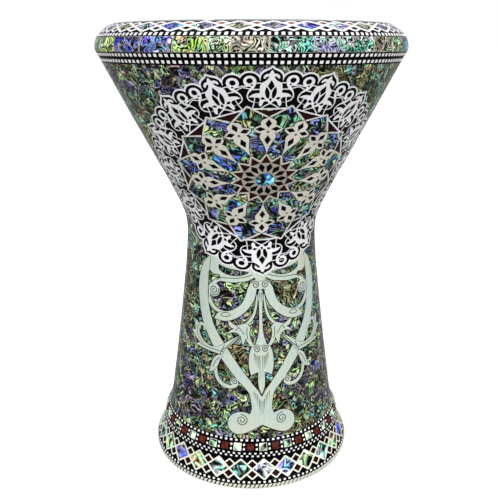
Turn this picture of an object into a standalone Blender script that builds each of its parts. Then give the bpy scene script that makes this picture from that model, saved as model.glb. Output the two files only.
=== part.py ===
"""Goblet drum (darbuka): a cast aluminium shell with a detachable tension ring and inlaid mosaic.

Frame: the origin is the centre of the foot face, +Z is up and the front, with its rosette, faces -Y.
Lengths below are in millimetres, and every mesh is scaled to metres when it is made.
"""

import math

import bmesh
import bpy

MM = 0.001

# Facets round the drum and round a bolt, and the clearance left between pieces that touch
SIDES = 40
BOLT_SIDES = 12
GAP = 0.3

# Castings: wall thickness, inlay thickness, and the bed left under the inlay for its glue
WALL = 5.0
INLAY = 1.2
BED = INLAY + 0.4

# Finished outer outline of the shell, as (height, radius) from the foot to the seam under the ring
SEAM_Z = 404.0
BODY_OUTLINE = [
    (0.0, 104.0),
    (4.0, 104.5),
    (10.0, 102.4),
    (20.0, 97.5),
    (29.0, 94.8),
    (36.0, 93.6),
    (47.0, 88.6),
    (57.0, 85.9),
    (80.0, 82.5),
    (120.0, 77.0),
    (180.0, 69.6),
    (215.0, 65.9),
    (238.0, 64.7),
    (252.0, 66.0),
    (264.0, 70.0),
    (276.0, 75.5),
    (292.0, 83.3),
    (350.0, 113.1),
    (SEAM_Z, 140.1),
]

# Foot inlay strips and the body veneer, by the heights where each one ends
ROPE_TOP = 5.4
LOWER_CHECKER_TOP = 8.4
LATTICE_TOP = 28.4
DOUBLE_CHECKER_TOP = 34.6
SQUARES_TOP = 43.3
UPPER_CHECKER_TOP = 46.2
VENEER_TOP = 399.0

# Heights between the strips' ends where an outline needs a point of its own
ROPE_STATIONS = [4.0]
LATTICE_STATIONS = [11.0, 18.0]
SQUARE_STATIONS = [37.0]
VENEER_STATIONS = [50, 57, 110, 215, 238, 252, 264, 278, 350]
BORE_STATIONS = [12, 40, 57, 215, 238, 252, 278]

# Foot face, top plate, and the collar whose top is the bearing edge
FOOT_INNER_R = 93.0
FOOT_OUTER_R = 102.2
PLATE_TOP_Z = SEAM_Z - 0.1
PLATE_UNDERSIDE_Z = 397.0
COLLAR_INNER_R = 104.0
COLLAR_OUTER_R = 108.5
BEARING_EDGE_Z = 427.0
EDGE_ROUND = 1.8
EDGE_BREAK = 0.5

# Drumhead film, folded a little wider than the bearing edge, and the hoop bonded round its skirt
FILM = 0.4
FOLD_EASE = 0.1
SKIRT_LOW_Z = 419.5
HOOP_LOW_Z = 418.5
HOOP_HIGH_Z = 424.2
HOOP_OUTER_R = 114.2
HOOP_CHAMFER = 0.8

# Finished outline of the tension ring, as (radius, height), from the seam over the crest to the lip
RING_LOW_Z = SEAM_Z + GAP
RING_BORE_R = 115.0
RING_SIDE = [
    (140.3, RING_LOW_Z),
    (142.5, 408.4),
    (143.3, 413.0),
    (141.2, 420.2),
    (138.5, 423.4),
    (133.8, 427.6),
    (128.3, 430.8),
]
RING_CREST = [
    (128.0, 431.0),
    (121.0, 432.0),
    (114.6, 430.2),
    (111.7, 427.2),
    (111.2, HOOP_HIGH_Z + GAP),
]
# Which points of the side each ring strip covers
RING_STRIPS = {
    "ring_seam_checker": (0, 1),
    "ring_abalone_band": (1, 3),
    "ring_shoulder_checker": (3, 4),
    "ring_lattice_band": (4, 6),
}

# Tuning bolts: M6 cap screws with a 5 mm hexagon socket, on one circle
BOLT_COUNT = 8
BOLT_CIRCLE_R = 121.5
BOLT_FIRST_ANGLE = math.radians(22.5)
SHANK_R = 3.0
HEAD_R = 5.0
HEAD_HEIGHT = 6.0
HEAD_CHAMFER = 0.5
SOCKET_FLAT = 2.5
SOCKET_DEPTH = 3.0
BOLT_TIP_Z = 392.0
HOLE_R = 3.4
HOLE_BOTTOM_Z = 390.5
BOSS_R = 6.5
BOSS_LOW_Z = 387.0
BOSS_TOP_Z = 400.0
POCKET_R = 6.2
POCKET_FLOOR_Z = 423.5
# How far past a casting's face its hole and pocket cutters reach
HOLE_REACH = 6.0
POCKET_REACH = 4.0
WASHER_R = 5.8
WASHER_THICKNESS = 1.2

# Front panels: geodesic radius and centre height of the rosette, and half the scroll's outline
ROSETTE_R = 105.5
ROSETTE_Z = 304.0
ROSETTE_SIDES = 56
SCROLL_OUTLINE = [
    (7.0, 207.0),
    (22.0, 210.0),
    (40.0, 222.0),
    (53.0, 220.0),
    (61.0, 204.0),
    (64.5, 188.0),
    (60.0, 168.0),
    (71.0, 156.0),
    (76.0, 147.0),
    (71.0, 130.0),
    (58.0, 132.0),
    (49.0, 100.0),
    (36.0, 94.0),
    (24.0, 100.0),
    (13.0, 86.0),
    (13.5, 72.0),
    (26.0, 74.0),
    (36.0, 62.0),
    (35.0, 53.0),
    (17.0, 49.5),
]
SCROLL_NOTCH = (0.0, 57.5)
PANEL_CUT_DEPTH = 200.0


# ---- Curves and outlines ----


def smooth_curve(points):
    """A function through points (x, y) that never overshoots between two of them."""
    count = len(points)
    slopes = [
        (points[i + 1][1] - points[i][1]) / (points[i + 1][0] - points[i][0])
        for i in range(count - 1)
    ]
    tangents = [slopes[0]]
    for before, after in zip(slopes, slopes[1:]):
        same_way = before * after > 0
        tangents.append(2 * before * after / (before + after) if same_way else 0.0)
    tangents.append(slopes[-1])

    def value(x):
        i = 0
        while i < count - 2 and x > points[i + 1][0]:
            i += 1
        (x0, y0), (x1, y1) = points[i], points[i + 1]
        width = x1 - x0
        t = (x - x0) / width
        start = (1 + 2 * t) * (1 - t) ** 2 * y0 + t * (1 - t) ** 2 * width * tangents[i]
        end = t * t * (3 - 2 * t) * y1 - t * t * (1 - t) * width * tangents[i + 1]
        return start + end

    return value


body_radius = smooth_curve(BODY_OUTLINE)


def body_path(heights):
    """Points (radius, height) on the finished outer surface of the shell."""
    return [(body_radius(z), z) for z in heights]


def inset(path, distance):
    """Move a path that runs up the outer side inward, square to its own direction."""
    moved = []
    for i, (r, z) in enumerate(path):
        r0, z0 = path[max(i - 1, 0)]
        r1, z1 = path[min(i + 1, len(path) - 1)]
        length = math.hypot(r1 - r0, z1 - z0)
        moved.append((r - distance * (z1 - z0) / length, z + distance * (r1 - r0) / length))
    return moved


def radius_under(z, depth):
    """Radius, at a height, of the surface that lies a depth below the finished one."""
    slope = body_radius(z + 0.5) - body_radius(z - 0.5)
    return body_radius(z) - depth * math.hypot(1.0, slope)


def between(low, high, stations):
    """A strip's two ends, with the stations that lie between them."""
    return [low] + [z for z in stations if low < z < high] + [high]


# ---- Meshes and objects ----


def material(name, colour, roughness, metallic=0.0):
    made = bpy.data.materials.new(name)
    made.use_nodes = True
    shader = made.node_tree.nodes["Principled BSDF"]
    shader.inputs["Base Color"].default_value = (*colour, 1.0)
    shader.inputs["Roughness"].default_value = roughness
    shader.inputs["Metallic"].default_value = metallic
    return made


def add_object(name, mesh, look=None, parent=None, place=(0.0, 0.0, 0.0)):
    made = bpy.data.objects.new(name, mesh)
    bpy.context.collection.objects.link(made)
    made.parent = parent
    made.location = [value * MM for value in place]
    if look:
        mesh.materials.clear()
        mesh.materials.append(look)
    return made


def close_mesh(name, bm):
    """Turn every face outward, shade the round sides smooth and return the finished mesh."""
    bmesh.ops.recalc_face_normals(bm, faces=bm.faces)
    mesh = bpy.data.meshes.new(name)
    bm.to_mesh(mesh)
    bm.free()
    mesh.shade_smooth()
    mesh.set_sharp_from_angle(angle=math.radians(30))
    return mesh


def hexagon_radius(flat, angle):
    """Distance from the centre of a hexagon to its side, at an angle; flat is half its width."""
    return flat / math.cos(angle % math.radians(60) - math.radians(30))


def add_turned(bm, outline, sides, centre=(0.0, 0.0), base_z=0.0, closed=True):
    """Revolve an outline of (radius, height) points; a third value of True makes that ring a hexagon.

    A closed outline is a loop clear of the axis. An open one starts and ends on the axis.
    """
    rings = []
    for point in outline:
        r, z = point[0], point[1]
        is_hexagon = len(point) > 2
        if r == 0.0:
            rings.append([bm.verts.new((centre[0] * MM, centre[1] * MM, (z - base_z) * MM))] * sides)
            continue
        ring = []
        for i in range(sides):
            angle = 2 * math.pi * i / sides
            reach = hexagon_radius(r, angle) if is_hexagon else r
            x = centre[0] + reach * math.cos(angle)
            y = centre[1] + reach * math.sin(angle)
            ring.append(bm.verts.new((x * MM, y * MM, (z - base_z) * MM)))
        rings.append(ring)
    pairs = list(zip(rings, rings[1:]))
    if closed:
        pairs.append((rings[-1], rings[0]))
    for lower, upper in pairs:
        for i in range(sides):
            j = (i + 1) % sides
            corners = [lower[i], lower[j], upper[j], upper[i]]
            bm.faces.new(list(dict.fromkeys(corners)))


def turned(name, outline, look, parent, base_z=0.0, closed=True):
    bm = bmesh.new()
    add_turned(bm, outline, SIDES, base_z=base_z, closed=closed)
    return add_object(name, close_mesh(name, bm), look, parent)


def strip(name, path, look, parent, base_z=0.0):
    """A thin inlay strip whose outer face follows the path."""
    return turned(name, path + inset(path, INLAY)[::-1], look, parent, base_z)


def hide_cutter(cutter):
    cutter.display_type = "WIRE"
    cutter.hide_render = True
    return cutter


def combine(target, other, operation):
    modifier = target.modifiers.new(f"{operation.lower()} {other.name}", "BOOLEAN")
    modifier.operation = operation
    modifier.solver = "EXACT"
    modifier.object = other


def bolt_centres():
    for i in range(BOLT_COUNT):
        angle = BOLT_FIRST_ANGLE + 2 * math.pi * i / BOLT_COUNT
        yield BOLT_CIRCLE_R * math.cos(angle), BOLT_CIRCLE_R * math.sin(angle)


def at_each_bolt(name, outline, parent, base_z=0.0):
    """One hidden cutter that holds the same turned shape at each bolt."""
    bm = bmesh.new()
    for centre in bolt_centres():
        add_turned(bm, outline, BOLT_SIDES, centre, base_z, closed=False)
    return hide_cutter(add_object(name, close_mesh(name, bm), parent=parent))


# ---- Shell ----


def shell_casting(look, parent):
    """The goblet: wall, top plate with bolt bosses, and the collar that carries the head."""
    foot_heights = [0.0, ROPE_TOP, *LATTICE_STATIONS, LATTICE_TOP, SQUARES_TOP, UPPER_CHECKER_TOP]
    outer = inset(body_path([*foot_heights, *VENEER_STATIONS, SEAM_Z]), BED)
    outer[0] = (FOOT_OUTER_R, 0.0)
    outer[-1] = (radius_under(PLATE_TOP_Z, BED), PLATE_TOP_Z)
    inner = inset(body_path([*BORE_STATIONS, PLATE_UNDERSIDE_Z]), BED + WALL)
    inner[-1] = (radius_under(PLATE_UNDERSIDE_Z, BED + WALL), PLATE_UNDERSIDE_Z)
    collar = [
        (COLLAR_OUTER_R, PLATE_TOP_Z),
        (COLLAR_OUTER_R, BEARING_EDGE_Z - EDGE_ROUND),
        (COLLAR_OUTER_R - EDGE_ROUND, BEARING_EDGE_Z),
        (COLLAR_INNER_R + EDGE_BREAK, BEARING_EDGE_Z),
        (COLLAR_INNER_R, BEARING_EDGE_Z - 2 * EDGE_BREAK),
        (COLLAR_INNER_R, PLATE_UNDERSIDE_Z),
    ]
    shell = turned("shell_casting", outer + collar + inner[::-1] + [(FOOT_INNER_R, 0.0)], look, parent)
    hole_top = SEAM_Z + HOLE_REACH
    boss = [(0.0, BOSS_LOW_Z), (BOSS_R, BOSS_LOW_Z), (BOSS_R, BOSS_TOP_Z), (0.0, BOSS_TOP_Z)]
    hole = [(0.0, HOLE_BOTTOM_Z), (HOLE_R, HOLE_BOTTOM_Z), (HOLE_R, hole_top), (0.0, hole_top)]
    combine(shell, at_each_bolt("boss_forms", boss, parent), "UNION")
    combine(shell, at_each_bolt("thread_holes", hole, parent), "DIFFERENCE")
    return shell


def drumhead(film_look, hoop_look, parent):
    """The film, a shallow cup over the bearing edge, and the hoop round its skirt."""
    inside = COLLAR_OUTER_R + GAP
    outside = inside + FILM
    under = BEARING_EDGE_Z + GAP
    fold = EDGE_ROUND + FOLD_EASE
    film = [
        (0.0, under),
        (inside - fold, under),
        (inside, under - fold),
        (inside, SKIRT_LOW_Z),
        (outside, SKIRT_LOW_Z),
        (outside, under - fold),
        (outside - fold, under + FILM),
        (0.0, under + FILM),
    ]
    turned("drumhead_film", film, film_look, parent, closed=False)
    hoop_inner = outside + GAP
    hoop = [
        (hoop_inner, HOOP_LOW_Z),
        (HOOP_OUTER_R, HOOP_LOW_Z),
        (HOOP_OUTER_R, HOOP_HIGH_Z - HOOP_CHAMFER),
        (HOOP_OUTER_R - HOOP_CHAMFER, HOOP_HIGH_Z),
        (hoop_inner, HOOP_HIGH_Z),
    ]
    turned("head_hoop", hoop, hoop_look, parent)


def foot_strips(looks, parent):
    """Six inlay strips round the foot and the one under the seam, each a gap above the last."""
    bands = [
        ("foot_rope_edge", GAP, ROPE_TOP, ROPE_STATIONS),
        ("foot_lower_checker", ROPE_TOP + GAP, LOWER_CHECKER_TOP, []),
        ("foot_lattice_band", LOWER_CHECKER_TOP + GAP, LATTICE_TOP, LATTICE_STATIONS),
        ("foot_double_checker", LATTICE_TOP + GAP, DOUBLE_CHECKER_TOP, []),
        ("foot_square_band", DOUBLE_CHECKER_TOP + GAP, SQUARES_TOP, SQUARE_STATIONS),
        ("foot_upper_checker", SQUARES_TOP + GAP, UPPER_CHECKER_TOP, []),
        ("shell_seam_checker", VENEER_TOP + GAP, SEAM_Z - GAP, []),
    ]
    for name, low, high, stations in bands:
        strip(name, body_path(between(low, high, stations)), looks[name], parent)


# ---- Body veneer and the two panels let into its front ----


def rosette_outline():
    """Points (x, height) of a circle drawn on the shell, by following straightest lines from its centre."""
    steps = 60
    step = ROSETTE_R / steps
    outline = []
    for i in range(ROSETTE_SIDES):
        heading = 2 * math.pi * i / ROSETTE_SIDES
        z, theta = ROSETTE_Z, 0.0
        for _ in range(steps):
            r = body_radius(z)
            slope = body_radius(z + 0.5) - body_radius(z - 0.5)
            stretch = math.hypot(1.0, slope)
            z += step * math.cos(heading) / stretch
            theta += step * math.sin(heading) / r
            heading -= step * math.sin(heading) * slope / (stretch * r)
        outline.append((body_radius(z) * math.sin(theta), z))
    return outline


def scroll_outline():
    """The scroll's half outline, measured along the surface, wrapped round the stem and mirrored."""
    half = []
    for along, z in SCROLL_OUTLINE:
        r = body_radius(z)
        half.append((r * math.sin(along / r), z))
    return half + [SCROLL_NOTCH] + [(-x, z) for x, z in half[::-1]]


def grown(outline, distance):
    """A clockwise outline moved outward by a distance."""
    moved = []
    count = len(outline)
    for i, (x, z) in enumerate(outline):
        x0, z0 = outline[i - 1]
        x1, z1 = outline[(i + 1) % count]
        length = math.hypot(x1 - x0, z1 - z0)
        moved.append((x - distance * (z1 - z0) / length, z + distance * (x1 - x0) / length))
    return moved


def front_cutter(name, outline, parent):
    """A prism of the outline that reaches from the drum's axis out past its front."""
    bm = bmesh.new()
    front = [bm.verts.new((x * MM, -PANEL_CUT_DEPTH * MM, z * MM)) for x, z in outline]
    face = bm.faces.new(front)
    grown_side = bmesh.ops.extrude_face_region(bm, geom=[face])["geom"]
    moving = [item for item in grown_side if isinstance(item, bmesh.types.BMVert)]
    bmesh.ops.translate(bm, verts=moving, vec=(0.0, (PANEL_CUT_DEPTH - GAP) * MM, 0.0))
    return hide_cutter(add_object(name, close_mesh(name, bm), parent=parent))


def veneer_and_panels(looks, parent):
    """The veneer is one skin with two windows, and each panel is the same skin cut to its window."""
    path = body_path(between(UPPER_CHECKER_TOP + GAP, VENEER_TOP, VENEER_STATIONS))
    veneer = strip("body_abalone_veneer", path, looks["body_abalone_veneer"], parent)
    rosette = strip("rosette_panel", path, looks["rosette_panel"], parent)
    scroll = strip("scroll_panel", path, looks["scroll_panel"], parent)
    circle = rosette_outline()
    tree = scroll_outline()
    rosette_form = front_cutter("rosette_form", circle, parent)
    rosette_window = front_cutter("rosette_window", grown(circle, GAP), parent)
    scroll_form = front_cutter("scroll_form", tree, parent)
    scroll_window = front_cutter("scroll_window", grown(tree, GAP), parent)
    combine(veneer, rosette_window, "DIFFERENCE")
    combine(veneer, scroll_window, "DIFFERENCE")
    combine(rosette, rosette_form, "INTERSECT")
    combine(scroll, scroll_form, "INTERSECT")
    combine(scroll, rosette_window, "DIFFERENCE")


# ---- Tension ring and its bolts ----


def tension_ring(looks, parent):
    """The ring casting and its four inlay strips, measured up from the seam."""
    bed = inset(RING_SIDE, BED)
    bed[0] = (bed[0][0], RING_LOW_Z)
    section = [(RING_BORE_R, RING_LOW_Z), *bed, *RING_CREST, (RING_BORE_R, HOOP_HIGH_Z + GAP)]
    ring = turned("tension_ring", section, looks["tension_ring"], parent, SEAM_Z)
    crest_z = max(z for _, z in RING_CREST)
    pocket = [
        (0.0, SEAM_Z - POCKET_REACH),
        (HOLE_R, SEAM_Z - POCKET_REACH),
        (HOLE_R, POCKET_FLOOR_Z),
        (POCKET_R, POCKET_FLOOR_Z),
        (POCKET_R, crest_z + POCKET_REACH),
        (0.0, crest_z + POCKET_REACH),
    ]
    combine(ring, at_each_bolt("bolt_pockets", pocket, parent, SEAM_Z), "DIFFERENCE")
    backs = inset(RING_SIDE, INLAY)
    for name, (first, last) in RING_STRIPS.items():
        face = shorten(RING_SIDE[first : last + 1], GAP / 2)
        back = shorten(backs[first : last + 1], GAP / 2)
        turned(name, face + back[::-1], looks[name], parent, SEAM_Z)


def shorten(path, distance):
    """Draw both ends of a path in by a distance along its own direction."""
    ends = []
    for (r, z), (near_r, near_z) in ((path[0], path[1]), (path[-1], path[-2])):
        share = distance / math.hypot(near_r - r, near_z - z)
        ends.append((r + share * (near_r - r), z + share * (near_z - z)))
    return [ends[0], *path[1:-1], ends[1]]


def washer_mesh():
    outline = [
        (HOLE_R, 0.0),
        (WASHER_R, 0.0),
        (WASHER_R, WASHER_THICKNESS),
        (HOLE_R, WASHER_THICKNESS),
    ]
    bm = bmesh.new()
    add_turned(bm, outline, BOLT_SIDES)
    return close_mesh("washer", bm)


def bolt_mesh():
    """A cap screw whose origin is on its axis under the head."""
    tip = BOLT_TIP_Z - head_seat_z()
    outline = [
        (0.0, tip),
        (SHANK_R, tip),
        (SHANK_R, 0.0),
        (HEAD_R, 0.0),
        (HEAD_R, HEAD_HEIGHT - HEAD_CHAMFER),
        (HEAD_R - HEAD_CHAMFER, HEAD_HEIGHT),
        (SOCKET_FLAT, HEAD_HEIGHT, True),
        (SOCKET_FLAT, HEAD_HEIGHT - SOCKET_DEPTH, True),
        (0.0, HEAD_HEIGHT - SOCKET_DEPTH),
    ]
    bm = bmesh.new()
    add_turned(bm, outline, BOLT_SIDES, closed=False)
    return close_mesh("tuning_bolt", bm)


def head_seat_z():
    return POCKET_FLOOR_Z + GAP + WASHER_THICKNESS + GAP


def bolts_and_washers(look, parent):
    bolt = bolt_mesh()
    washer = washer_mesh()
    for number, (x, y) in enumerate(bolt_centres(), start=1):
        washer_place = (x, y, POCKET_FLOOR_Z + GAP - SEAM_Z)
        bolt_place = (x, y, head_seat_z() - SEAM_Z)
        add_object(f"washer_{number}", washer, look, parent, washer_place)
        add_object(f"tuning_bolt_{number}", bolt, look, parent, bolt_place)


# ---- Whole drum ----


def empty(name, parent=None, height=0.0):
    made = bpy.data.objects.new(name, None)
    bpy.context.collection.objects.link(made)
    made.parent = parent
    made.location = (0.0, 0.0, height * MM)
    return made


def main():
    for old in list(bpy.data.objects):
        bpy.data.objects.remove(old, do_unlink=True)
    aluminium = material("cast aluminium", (0.62, 0.62, 0.61), 0.35, 1.0)
    steel = material("bolt steel", (0.55, 0.55, 0.56), 0.3, 1.0)
    film = material("head film", (0.86, 0.86, 0.83), 0.4)
    checker = material("checker inlay", (0.45, 0.45, 0.43), 0.25)
    looks = {
        "tension_ring": aluminium,
        "ring_seam_checker": checker,
        "ring_abalone_band": material("bright abalone", (0.42, 0.5, 0.45), 0.2),
        "ring_shoulder_checker": checker,
        "ring_lattice_band": material("ring lattice", (0.35, 0.2, 0.22), 0.25),
        "shell_seam_checker": checker,
        "body_abalone_veneer": material("dark abalone", (0.12, 0.17, 0.16), 0.2),
        "rosette_panel": material("rosette pearl", (0.62, 0.66, 0.6), 0.25),
        "scroll_panel": material("scroll pearl", (0.68, 0.74, 0.67), 0.25),
        "foot_upper_checker": checker,
        "foot_square_band": material("square inlay", (0.3, 0.18, 0.15), 0.25),
        "foot_double_checker": checker,
        "foot_lattice_band": material("foot lattice", (0.35, 0.36, 0.3), 0.25),
        "foot_lower_checker": checker,
        "foot_rope_edge": material("rope inlay", (0.72, 0.68, 0.55), 0.35),
    }
    shell = empty("shell_frame")
    ring = empty("ring_frame", shell, SEAM_Z)
    shell_casting(aluminium, shell)
    drumhead(film, material("hoop aluminium", (0.7, 0.7, 0.7), 0.3, 1.0), shell)
    foot_strips(looks, shell)
    veneer_and_panels(looks, shell)
    tension_ring(looks, ring)
    bolts_and_washers(steel, ring)


main()
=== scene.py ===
import math

import bmesh
import bpy
import numpy as np
from mathutils import Matrix, Vector
from mathutils.geometry import delaunay_2d_cdt


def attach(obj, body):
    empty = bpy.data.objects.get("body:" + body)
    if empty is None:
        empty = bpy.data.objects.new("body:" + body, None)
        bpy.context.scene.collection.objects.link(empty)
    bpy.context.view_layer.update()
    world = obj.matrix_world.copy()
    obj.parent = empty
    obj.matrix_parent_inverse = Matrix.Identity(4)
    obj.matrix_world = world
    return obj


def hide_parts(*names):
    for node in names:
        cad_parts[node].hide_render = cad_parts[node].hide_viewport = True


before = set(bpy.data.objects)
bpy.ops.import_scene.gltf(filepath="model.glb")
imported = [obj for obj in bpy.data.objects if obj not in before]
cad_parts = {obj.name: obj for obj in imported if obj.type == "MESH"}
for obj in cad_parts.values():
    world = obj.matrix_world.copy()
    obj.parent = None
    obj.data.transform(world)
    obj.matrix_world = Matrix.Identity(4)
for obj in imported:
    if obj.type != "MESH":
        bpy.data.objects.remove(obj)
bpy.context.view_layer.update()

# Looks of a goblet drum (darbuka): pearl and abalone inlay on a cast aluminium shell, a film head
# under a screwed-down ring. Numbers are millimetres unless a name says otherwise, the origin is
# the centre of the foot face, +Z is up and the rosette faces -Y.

MM = 0.001
TURN = 2 * math.pi


# ---- The drum's outlines, the same as in the CAD ----

SEAM_Z = 404.0
BODY_OUTLINE = [
    (0.0, 104.0),
    (4.0, 104.5),
    (10.0, 102.4),
    (20.0, 97.5),
    (29.0, 94.8),
    (36.0, 93.6),
    (47.0, 88.6),
    (57.0, 85.9),
    (80.0, 82.5),
    (120.0, 77.0),
    (180.0, 69.6),
    (215.0, 65.9),
    (238.0, 64.7),
    (252.0, 66.0),
    (264.0, 70.0),
    (276.0, 75.5),
    (292.0, 83.3),
    (350.0, 113.1),
    (SEAM_Z, 140.1),
]
RING_SIDE = [
    (140.3, 404.3), (142.5, 408.4), (143.3, 413.0), (141.2, 420.2), (138.5, 423.4), (133.8, 427.6),
    (128.3, 430.8),
]
RING_R = 142.0  # at the abalone plates
INLAY = 1.2  # thickness of every strip, panel and veneer
ROOT = -0.3  # how deep raised tiles and plates reach into their ground
BAND_STEP = 3.0  # the longest step along a band's profile
ROSETTE_Z = 304.0
BOLT_COUNT = 8
BOLT_CIRCLE_R = 121.5
BOLT_CENTRES = [(BOLT_CIRCLE_R * math.cos(angle), BOLT_CIRCLE_R * math.sin(angle))
                for angle in math.pi / 8 + np.arange(BOLT_COUNT) * TURN / BOLT_COUNT]


def smooth_heights(points, heights):
    """Radius at each height, on a curve through (height, radius) points that never overshoots."""
    zs = np.array([p[0] for p in points])
    rs = np.array([p[1] for p in points])
    slopes = np.diff(rs) / np.diff(zs)
    tangents = np.zeros(len(rs))
    tangents[0], tangents[-1] = slopes[0], slopes[-1]
    for i in range(1, len(rs) - 1):
        if slopes[i - 1] * slopes[i] > 0:
            tangents[i] = 2 * slopes[i - 1] * slopes[i] / (slopes[i - 1] + slopes[i])
    i = np.clip(np.searchsorted(zs, heights, side="right") - 1, 0, len(zs) - 2)
    width = zs[i + 1] - zs[i]
    t = (heights - zs[i]) / width
    start = (1 + 2 * t) * (1 - t) ** 2 * rs[i] + t * (1 - t) ** 2 * width * tangents[i]
    end = t * t * (3 - 2 * t) * rs[i + 1] - t * t * (1 - t) * width * tangents[i + 1]
    return start + end


HEIGHTS = np.arange(0.0, SEAM_Z + 0.01, 0.25)
RADII = smooth_heights(BODY_OUTLINE, HEIGHTS)


def body_radius(z):
    return np.interp(z, HEIGHTS, RADII)


def curve(points, per, closed=False):
    """A smooth line through points, per steps to each. A point given twice running is a corner."""
    count = len(points)
    out = []
    for i in range(count if closed else count - 1):
        p = [points[(i + j) % count] if closed else points[min(max(i + j, 0), count - 1)]
             for j in (-1, 0, 1, 2)]
        if p[1] == p[2]:
            continue
        for k in range(per):
            t = k / per
            a = -0.5 * t + t * t - 0.5 * t ** 3
            b = 1 - 2.5 * t * t + 1.5 * t ** 3
            c = 0.5 * t + 2 * t * t - 1.5 * t ** 3
            d = -0.5 * t * t + 0.5 * t ** 3
            out.append(tuple(a * p[0][m] + b * p[1][m] + c * p[2][m] + d * p[3][m] for m in (0, 1)))
    if not closed:
        out.append(tuple(points[-1]))
    return out


def shape(points, per=4):
    return curve(points, per, closed=True)


class Profile:
    """The side of a turned form: a line of (radius, height), measured along its length."""

    def __init__(self, points):
        pts = np.array(points, dtype=float)
        steps = np.hypot(*np.diff(pts, axis=0).T)
        self.s = np.concatenate([[0.0], np.cumsum(steps)])
        self.length = self.s[-1]
        self.r, self.z = pts[:, 0], pts[:, 1]
        dr, dz = np.gradient(self.r, self.s), np.gradient(self.z, self.s)
        size = np.hypot(dr, dz)
        self.nr, self.nz = dz / size, -dr / size

    def at(self, s):
        return [np.interp(s, self.s, v) for v in (self.r, self.z, self.nr, self.nz)]

    def at_height(self, z):
        return np.interp(z, self.z, self.s)

    def place(self, theta, s, lift):
        """Point and outward direction, in metres, at an angle from the front and a length along."""
        r, z, nr, nz = self.at(s)
        r, z = r + lift * nr, z + lift * nz
        points = np.stack([r * np.sin(theta), -r * np.cos(theta), z], -1) * MM
        normals = np.stack([nr * np.sin(theta), -nr * np.cos(theta), nz], -1)
        return points, normals


BODY = Profile(list(zip(RADII, HEIGHTS)))
RING = Profile(curve(RING_SIDE, 12))
# Length along the ring's side at each of its points
RING_MARKS = [RING.s[12 * i] for i in range(len(RING_SIDE))]


# ---- Procedural materials ----


class Look:
    """A node material under construction, in object coordinates."""

    def __init__(self, name, roughness, **sockets):
        self.material = bpy.data.materials.new(name)
        self.material.use_nodes = True
        self.tree = self.material.node_tree
        self.tree.nodes.clear()
        output = self.tree.nodes.new("ShaderNodeOutputMaterial")
        self.shader = self.tree.nodes.new("ShaderNodeBsdfPrincipled")
        self.tree.links.new(self.shader.outputs[0], output.inputs[0])
        self.shader.inputs["Roughness"].default_value = roughness
        for socket, value in sockets.items():
            self.shader.inputs[socket.replace("_", " ")].default_value = value
        self.position = self.node("ShaderNodeTexCoord").outputs["Object"]

    def node(self, kind, inputs=(), **settings):
        made = self.tree.nodes.new(kind)
        for key, value in settings.items():
            setattr(made, key, value)
        for key, value in dict(inputs).items():
            self.feed(made.inputs[key], value)
        return made

    def feed(self, socket, value):
        if isinstance(value, bpy.types.NodeSocket):
            self.tree.links.new(value, socket)
        else:
            socket.default_value = value

    def to(self, socket, value):
        self.feed(self.shader.inputs[socket], value)

    def maths(self, operation, a, b=0.0):
        return self.node("ShaderNodeMath", {0: a, 1: b}, operation=operation).outputs[0]

    def vectors(self, operation, a, b):
        return self.node("ShaderNodeVectorMath", {0: a, 1: b}, operation=operation).outputs[0]

    def noise(self, vector, scale, detail, roughness=0.5, distortion=0.0, colour=False):
        made = self.node("ShaderNodeTexNoise", {
            "Vector": vector, "Scale": scale, "Detail": detail,
            "Roughness": roughness, "Distortion": distortion,
        })
        return made.outputs["Color" if colour else "Fac"]

    def warped(self, vector, scale, amount):
        """Coordinates pushed about by noise, by up to about half the amount each way."""
        push = self.noise(vector, scale, detail=2.0, colour=True)
        centred = self.vectors("SUBTRACT", push, (0.5, 0.5, 0.5))
        return self.vectors("ADD", vector, self.vectors("MULTIPLY", centred, (amount, amount, amount)))

    def cells(self, vector, scale, feature="F1"):
        return self.node("ShaderNodeTexVoronoi", {"Vector": vector, "Scale": scale}, feature=feature)

    def ramp(self, value, stops):
        made = self.node("ShaderNodeValToRGB", {0: value})
        band = made.color_ramp
        while len(band.elements) < len(stops):
            band.elements.new(0.5)
        for element, (position, colour) in zip(band.elements, stops):
            element.position = position
            if not isinstance(colour, tuple):
                colour = (colour, colour, colour)
            element.color = (*colour, 1.0)
        return made.outputs[0]

    def mix(self, factor, a, b, blend="MIX"):
        made = self.node("ShaderNodeMix", data_type="RGBA", blend_type=blend)
        for index, value in ((0, factor), (6, a), (7, b)):
            if isinstance(value, tuple) and len(value) == 3:
                value = (*value, 1.0)
            self.feed(made.inputs[index], value)
        return made.outputs[2]

    def bump(self, height, distance_mm, strength):
        made = self.node("ShaderNodeBump", {"Height": height, "Strength": strength})
        made.inputs["Distance"].default_value = distance_mm * MM
        self.to("Normal", made.outputs[0])


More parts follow.
